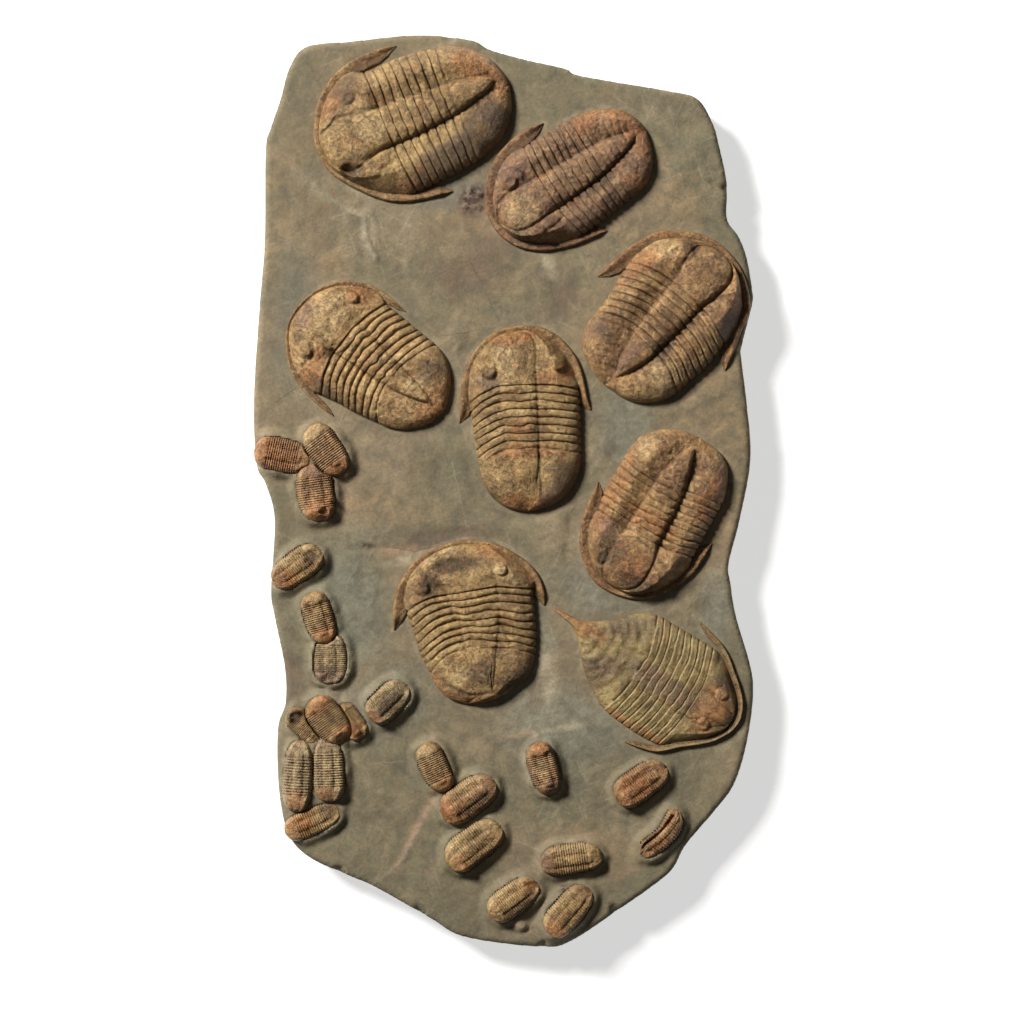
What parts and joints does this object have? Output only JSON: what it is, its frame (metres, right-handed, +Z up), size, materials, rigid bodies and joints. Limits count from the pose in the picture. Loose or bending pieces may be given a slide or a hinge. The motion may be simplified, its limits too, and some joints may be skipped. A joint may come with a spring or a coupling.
{
  "type": "fossil trilobite plate",
  "caption": "Irregular mudstone slab, flat at the back, with large and small trilobites standing out of its face in relief.",
  "frame": {"origin": "on the flat back of the slab, under the middle of the whole plate", "axes": "+Z up out of the fossil face, +Y along the slab towards its narrow top, +X to the right of that"},
  "size_m": [0.55, 1.004, 0.0642],
  "materials": {
    "matrix": "matt grey-green mudstone with brown stains and fine tool scratches",
    "shell_ochre": "pitted ochre and golden brown fossil shell, slightly satin",
    "shell_purple_brown": "brown fossil shell with purple patches and a red rim",
    "shell_dark_brown": "dark brown fossil shell with rusty patches",
    "shell_golden": "rough golden brown fossil shell with a pink and rusty head",
    "shell_olive": "olive gold fossil shell with an orange rim",
    "small_shell_rusty": "finely ribbed rusty brown fossil shell",
    "small_shell_brown": "finely ribbed golden brown fossil shell",
    "small_shell_grey": "finely ribbed grey-brown fossil shell"
  },
  "bodies": {
    "root": {"matrix_slab": "matrix", "large_trilobite_1": "shell_ochre", "large_trilobite_2": "shell_purple_brown", "large_trilobite_3": "shell_dark_brown", "large_trilobite_4": "shell_golden", "large_trilobite_5": "shell_ochre", "large_trilobite_6": "shell_dark_brown", "large_trilobite_7": "shell_ochre", "spine_tailed_trilobite": "shell_olive", "small_trilobite_01": "small_shell_rusty", "small_trilobite_02": "small_shell_rusty", "small_trilobite_03": "small_shell_rusty", "small_trilobite_04": "small_shell_brown", "small_trilobite_05": "small_shell_brown", "small_trilobite_06": "small_shell_grey", "small_trilobite_07": "small_shell_grey", "small_trilobite_08": "small_shell_brown", "small_trilobite_09": "small_shell_brown", "small_trilobite_10": "small_shell_brown", "small_trilobite_11": "small_shell_grey", "small_trilobite_12": "small_shell_grey", "small_trilobite_13": "small_shell_brown", "small_trilobite_14": "small_shell_brown", "small_trilobite_15": "small_shell_rusty", "small_trilobite_16": "small_shell_brown", "small_trilobite_17": "small_shell_rusty", "small_trilobite_18": "small_shell_brown", "small_trilobite_19": "small_shell_brown", "small_trilobite_20": "small_shell_brown", "small_trilobite_21": "small_shell_rusty", "broken_trilobite": "small_shell_rusty"}
  },
  "joints": []
}
